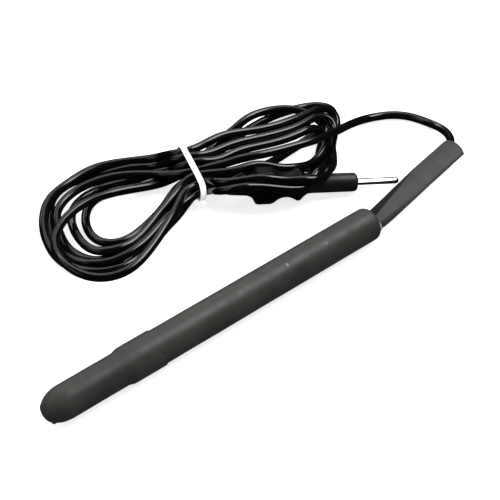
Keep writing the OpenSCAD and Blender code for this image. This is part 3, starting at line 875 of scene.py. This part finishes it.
def make_grip():
    """The grip: strain relief, large flange, waist and small flange."""
    outside = [
        (GRIP_REAR, 2.35), (GRIP_REAR, 3.1), (GRIP_REAR + 2.5, 4.1), (-56.6, 4.85), (-54.2, 6.2),
        (-52.6, 9.3),
        (-51.4, 9.5), (-45.4, 9.5), (-44.0, 9.1), (-41.5, 7.4), (-38.8, 6.4), (-35.6, 6.4), (-33.4, 7.2),
        (-31.6, 8.35), (-30.2, 8.35), (-28.4, 6.6), (-26.9, 5.5), (-26.05, 5.3), (-26.05, 2.5),
    ]
    inside = [(-49.5, 2.45), (-49.5, 2.3)]
    profile = apart_only(spaced(filleted(outside, 1.1), 1.2))
    profile += [Vector(p) for p in inside]
    rings = []
    for x, r in profile:
        rings.append([PLUG @ Vector(grip_shape(x, r, 2 * math.pi * k / 144)) for k in range(144)])
    piece = mesh_piece("grip_moulding", *stitch(rings, closed_line=True), sharp=60)
    return fit_out(piece, "grip_plastic", "plug_grip")


def make_collar():
    """The collar, with a fine step at its root and a rounded front edge."""
    outside = [
        (-COLLAR_L, PIN_R + 0.7), (-COLLAR_L, COLLAR_R - 0.1), (-COLLAR_L + 0.5, COLLAR_R + 0.12),
        (-COLLAR_L + 1.3, COLLAR_R + 0.12), (-COLLAR_L + 1.8, COLLAR_R), (-1.8, COLLAR_R),
        (-0.5, COLLAR_R - 0.5), (0, COLLAR_R - 1.8), (0, PIN_R + 0.25), (-0.45, PIN_R + 0.06),
    ]
    profile = apart_only(spaced(filleted(outside, 0.9), 1.5))
    rings = [[PLUG @ Vector((x, r * math.cos(2 * math.pi * k / 96), r * math.sin(2 * math.pi * k / 96)))
              for k in range(96)] for x, r in profile]
    piece = mesh_piece("collar_moulding", *stitch(rings, closed_line=True), sharp=60)
    return fit_out(piece, "collar_plastic", "plug_collar")


def make_pin():
    """The pin, with its stem, the fine groove at its root and a rounded end."""
    profile = [(-18, 0), (-18, 2.4), (-0.5, 2.4), (-0.5, 1.35), (0.3, 1.35), (0.3, PIN_R),
               (PIN_L - 1.3, PIN_R), (PIN_L - 0.35, PIN_R * 0.74), (PIN_L, PIN_R * 0.3), (PIN_L, 0)]
    profile = apart_only(spaced(filleted(profile, 0.5, steps=5), 1.5))
    return fit_out(turned("pin_turned", profile, 72, place=PLUG), "nickel", "plug_pin")


def make_cord():
    path = settle(spline(hank_route(), CORD_STEP))
    length = float(np.linalg.norm(np.diff(path, axis=0), axis=1).sum()) * MM
    piece = curve_piece("cord_length", path, CORD_R, 2)
    fit_out(piece, "cord_pvc", "cord_lead", "cord_hank", "cord_folds", "cord_tail")
    return piece, length


cord, cord_length = make_cord()
pin = make_pin()
grip = make_grip()
collar = make_collar()
tie = make_tie()
make_boot()
make_main_sleeve()
make_flat_sleeve()
make_sealant_bead()

KEPT_NODES = {
    "boot_adhesive": "sealant", "nose_plug": "white_plastic", "electrode_tube": "electrode_brass",
    "core_former": "former_plastic", "contact_spring": "spring_bronze", "contact_rivet": "nickel",
    "inner_wire": "wire_insulation", "rear_bush": "white_plastic", "splice_crimp": "nickel",
    "splice_cover": "cover_plastic", "plug_crimp": "electrode_brass", "plug_core": "core_copper",
}
for name, slot in KEPT_NODES.items():
    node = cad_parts[name]
    node.data.materials.clear()
    node.data.materials.append(finishes[slot].material)

# ---------------------------------------------------------------- floor and light

bpy.ops.mesh.primitive_plane_add(size=6, location=(0.05, 0.05, TABLE_Z * MM - 0.0001))
floor = bpy.context.object
floor.name = "floor"
floor.data.materials.append(floor_finish().material)
floor.visible_glossy = False
floor.visible_diffuse = False

# Reflections see a darker room than the surfaces are lit by
ROOM_LIGHT = 0.38
ROOM_REFLECTED = 0.02
world = bpy.data.worlds.new("studio")
bpy.context.scene.world = world
world.use_nodes = True
world_nodes = world.node_tree.nodes
background = world_nodes["Background"]
background.inputs["Color"].default_value = (1, 1, 1, 1)
paths = world_nodes.new("ShaderNodeLightPath")
strength = world_nodes.new("ShaderNodeMath")
strength.operation = "MULTIPLY_ADD"
strength.inputs[1].default_value = ROOM_REFLECTED - ROOM_LIGHT
strength.inputs[2].default_value = ROOM_LIGHT
world.node_tree.links.new(paths.outputs["Is Glossy Ray"], strength.inputs[0])
world.node_tree.links.new(strength.outputs["Value"], background.inputs["Strength"])


def softbox(name, at, aim, width, height, power):
    data = bpy.data.lights.new(name, "AREA")
    data.shape = "RECTANGLE"
    data.size, data.size_y = width, height
    data.energy = power
    light = bpy.data.objects.new(name, data)
    light.location = at
    light.rotation_euler = (Vector(aim) - Vector(at)).to_track_quat("-Z", "Y").to_euler()
    bpy.context.scene.collection.objects.link(light)
    return light


MIDDLE = Vector((0.09, 0.05, 0))


def towards(x, y, z, distance):
    """The place at a distance in metres from the middle of the object, in a direction."""
    return MIDDLE + Vector((x, y, z)).normalized() * distance


def shine_only_on(light, name, *pieces):
    only = bpy.data.collections.new(name)
    for piece in pieces:
        only.objects.link(piece)
    light.light_linking.receiver_collection = only


softbox("key_softbox", towards(0.50, -0.17, 0.85, 1.3), MIDDLE, width=0.75, height=0.5, power=10)
softbox("overhead_panel", towards(0.10, 0.50, 0.85, 1.4), MIDDLE, width=1.9, height=1.0, power=6.5)
softbox("back_strip", towards(0.30, 0.85, 0.42, 1.4), MIDDLE, width=1.4, height=0.16, power=2.6)
softbox("left_panel", towards(-0.85, 0.20, 0.45, 1.3), MIDDLE, width=1.0, height=0.7, power=1.6)
pin_card = softbox("pin_card", towards(-0.50, -0.57, 0.70, 1.2), MIDDLE, width=1.6, height=1.2, power=24)
shine_only_on(pin_card, "pin_card_receivers", pin, tie)
cord_strip = softbox("cord_strip", towards(0.12, 0.42, 0.90, 1.3), MIDDLE, width=1.8, height=0.10, power=2.2)
shine_only_on(cord_strip, "cord_strip_receivers", cord)

bpy.context.scene.view_settings.view_transform = "Standard"
